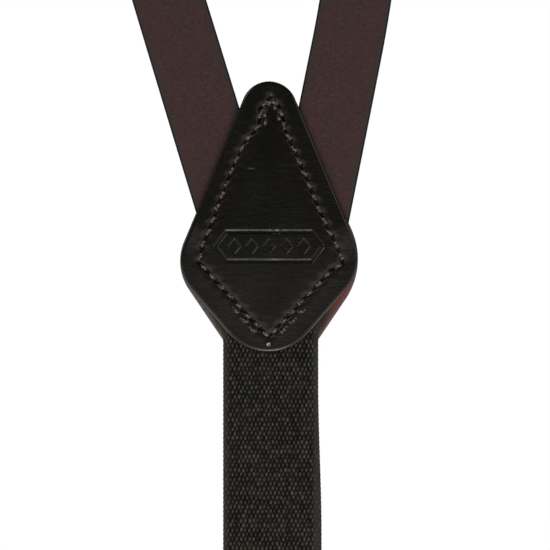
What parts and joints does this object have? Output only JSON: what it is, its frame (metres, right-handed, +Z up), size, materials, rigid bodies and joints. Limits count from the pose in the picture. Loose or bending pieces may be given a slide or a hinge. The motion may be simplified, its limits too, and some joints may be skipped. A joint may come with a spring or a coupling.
{
  "type": "suspenders",
  "caption": "Y-back leather suspenders with a kite-shaped stitched yoke, an elastic back strap, brass clips and sliding adjusters.",
  "frame": {"origin": "midway between the tops of the two straps, where they lie on the shoulders", "axes": "+Z up, +Y the way the wearer faces, +X to the wearer's right"},
  "size_m": [0.2909, 0.2279, 0.5411],
  "materials": {
    "strap_leather": "satin burgundy-brown, fine grain, black painted edges",
    "patch_leather": "glossy near-black brown, smooth grain",
    "lining_leather": "matt, raw red-brown edge",
    "elastic_webbing": "ribbed woven elastic, charcoal",
    "thread": "waxed brown thread",
    "brass": "satin, slightly worn",
    "nylon": "matt black"
  },
  "bodies": {
    "root": {"patch_front": "patch_leather", "patch_lining": "lining_leather", "patch_thread": "thread", "elastic_strap": "elastic_webbing", "strap_left": "strap_leather", "strap_right": "strap_leather", "strap_front_left": "strap_leather", "strap_front_right": "strap_leather"},
    "back_end": {"back_tab": "patch_leather", "back_tab_thread": "thread"},
    "clip_back": {"clip_plate_back": "brass", "clip_pad_back": "nylon", "clip_pin_back": "brass"},
    "lever_back": {"clip_lever_back": "brass"},
    "adjuster_left": {"adjuster_frame_left": "brass", "adjuster_pin_left": "brass", "strap_end_left": "strap_leather", "strap_rivet_left": "brass", "strap_return_left": "strap_leather"},
    "latch_left": {"adjuster_lever_left": "brass"},
    "fold_left": {"strap_fold_left": "strap_leather"},
    "clip_left": {"clip_plate_left": "brass", "clip_pad_left": "nylon", "clip_pin_left": "brass"},
    "lever_left": {"clip_lever_left": "brass"},
    "adjuster_right": {"adjuster_frame_right": "brass", "adjuster_pin_right": "brass", "strap_end_right": "strap_leather", "strap_rivet_right": "brass", "strap_return_right": "strap_leather"},
    "latch_right": {"adjuster_lever_right": "brass"},
    "fold_right": {"strap_fold_right": "strap_leather"},
    "clip_right": {"clip_plate_right": "brass", "clip_pad_right": "nylon", "clip_pin_right": "brass"},
    "lever_right": {"clip_lever_right": "brass"}
  },
  "joints": [
    {"name": "back_stretch", "type": "slide", "parent": "root", "child": "back_end", "axis": [0, 0, -1], "range_m": [0, 0.07], "stiffness_N_per_m": 150, "springref_m": -0.004, "deforming": ["elastic_strap"]},
    {"name": "clip_swing_back", "type": "hinge", "parent": "back_end", "child": "clip_back", "pos_m": [0, -0.09781, -0.49], "axis": [1, 0, 0], "range_deg": [-40, 40]},
    {"name": "clip_open_back", "type": "hinge", "parent": "clip_back", "child": "lever_back", "pos_m": [0, -0.10511, -0.528], "axis": [1, 0, 0], "range_deg": [0, 85]},
    {"name": "adjuster_slide_left", "type": "slide", "parent": "root", "child": "adjuster_left", "axis": [0, 0, 1], "range_m": [0, 0.06], "deforming": ["strap_front_left"]},
    {"name": "adjuster_open_left", "type": "hinge", "parent": "adjuster_left", "child": "latch_left", "pos_m": [-0.12948, 0.11581, -0.391], "axis": [1, 0, 0], "range_deg": [0, 100]},
    {"name": "fold_slide_left", "type": "slide", "parent": "adjuster_left", "child": "fold_left", "axis": [0, 0, 1], "range_m": [-0.03, 0], "deforming": ["strap_return_left"]},
    {"name": "clip_swing_left", "type": "hinge", "parent": "fold_left", "child": "clip_left", "pos_m": [-0.12948, 0.1087, -0.49], "axis": [1, 0, 0], "range_deg": [-40, 40]},
    {"name": "clip_open_left", "type": "hinge", "parent": "clip_left", "child": "lever_left", "pos_m": [-0.12948, 0.116, -0.528], "axis": [-1, 0, 0], "range_deg": [0, 85]},
    {"name": "adjuster_slide_right", "type": "slide", "parent": "root", "child": "adjuster_right", "axis": [0, 0, 1], "range_m": [0, 0.06], "deforming": ["strap_front_right"]},
    {"name": "adjuster_open_right", "type": "hinge", "parent": "adjuster_right", "child": "latch_right", "pos_m": [0.12904, 0.11581, -0.391], "axis": [1, 0, 0], "range_deg": [0, 100]},
    {"name": "fold_slide_right", "type": "slide", "parent": "adjuster_right", "child": "fold_right", "axis": [0, 0, 1], "range_m": [-0.03, 0], "deforming": ["strap_return_right"]},
    {"name": "clip_swing_right", "type": "hinge", "parent": "fold_right", "child": "clip_right", "pos_m": [0.12904, 0.1087, -0.49], "axis": [1, 0, 0], "range_deg": [-40, 40]},
    {"name": "clip_open_right", "type": "hinge", "parent": "clip_right", "child": "lever_right", "pos_m": [0.12904, 0.116, -0.528], "axis": [-1, 0, 0], "range_deg": [0, 85]}
  ],
  "couplings": [
    {"joint": "fold_slide_left", "follows": "adjuster_slide_left", "ratio": -0.5},
    {"joint": "fold_slide_right", "follows": "adjuster_slide_right", "ratio": -0.5}
  ]
}
